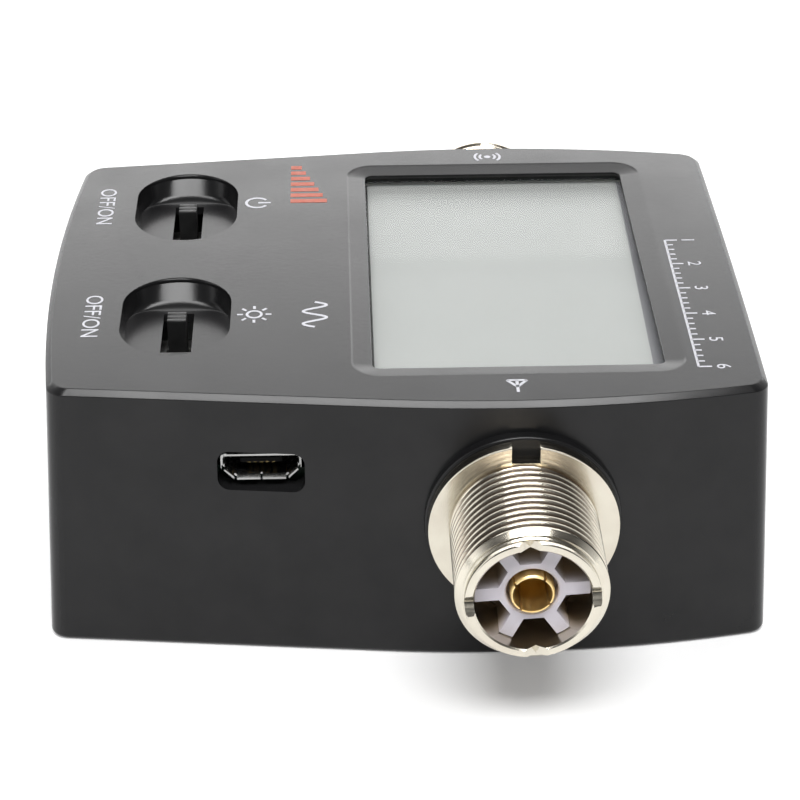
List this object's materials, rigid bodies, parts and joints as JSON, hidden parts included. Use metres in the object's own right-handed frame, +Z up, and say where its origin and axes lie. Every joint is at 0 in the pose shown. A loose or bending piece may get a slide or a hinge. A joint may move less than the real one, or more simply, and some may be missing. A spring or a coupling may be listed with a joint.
{
  "type": "swr power meter",
  "caption": "Pocket radio line meter: tapered cast case with a display window, slide switches in finger dishes, a charging port and a threaded coaxial socket on each long side.",
  "frame": {"origin": "under the middle of the base", "axes": "+X along the long sides towards the display end, +Y along the socket axis towards the transmitter socket, +Z up"},
  "size_m": [0.0808, 0.0962, 0.031],
  "materials": {
    "black_paint": "satin black paint on cast metal",
    "black_screw": "blackened steel",
    "clear_lens": "clear gloss acrylic",
    "tape": "black bonding tape",
    "display": "light grey liquid crystal glass",
    "white_plastic": "moulded white plastic",
    "light_guide": "polished acrylic",
    "lamp": "lamp resin",
    "tin": "tinned metal",
    "board": "solder resist on glass fibre",
    "chip": "moulded resin",
    "component": "ceramic and resin",
    "shell_steel": "bright plated sheet",
    "black_plastic": "black moulded plastic",
    "gold": "gold plated contact",
    "nickel": "nickel plated brass",
    "insulator": "translucent white resin",
    "copper": "copper",
    "ferrite": "sintered ferrite",
    "cell": "laminate pouch",
    "foam": "foam tape",
    "lead": "wire insulation"
  },
  "bodies": {
    "meter": {"case": "black_paint", "base_plate": "black_paint", "base_screws": "black_screw", "window_lens": "clear_lens", "lens_tape": "tape", "lcd_glass": "display", "lcd_frame": "white_plastic", "backlight_panel": "light_guide", "backlight_lamps": "lamp", "lcd_pins": "tin", "main_board": "board", "board_screws": "tin", "microcontroller": "chip", "board_components": "component", "usb_shell": "shell_steel", "usb_tongue": "black_plastic", "usb_contacts": "gold", "power_switch_base": "black_plastic", "power_switch_frame": "tin", "power_switch_terminals": "tin", "light_switch_base": "black_plastic", "light_switch_frame": "tin", "light_switch_terminals": "tin", "ant_socket_shell": "nickel", "ant_insulator": "insulator", "ant_contact": "gold", "ant_ring_nut": "nickel", "ant_earth_tag": "tin", "tx_socket_shell": "nickel", "tx_insulator": "insulator", "tx_contact": "gold", "tx_ring_nut": "nickel", "tx_earth_tag": "tin", "through_line": "copper", "coupler_board": "board", "coupler_cores": "ferrite", "coupler_windings": "copper", "coupler_pillars": "white_plastic", "link_header": "gold", "battery_cell": "cell", "battery_pad": "foam", "battery_leads": "lead", "battery_plug": "white_plastic"},
    "power_lever": {"power_switch_lever": "black_plastic", "power_switch_wiper": "tin"},
    "light_lever": {"light_switch_lever": "black_plastic", "light_switch_wiper": "tin"}
  },
  "joints": [
    {"name": "power_slide", "type": "slide", "parent": "meter", "child": "power_lever", "axis": [0, -1, 0], "range_m": [0, 0.003]},
    {"name": "light_slide", "type": "slide", "parent": "meter", "child": "light_lever", "axis": [0, -1, 0], "range_m": [0, 0.003]}
  ]
}
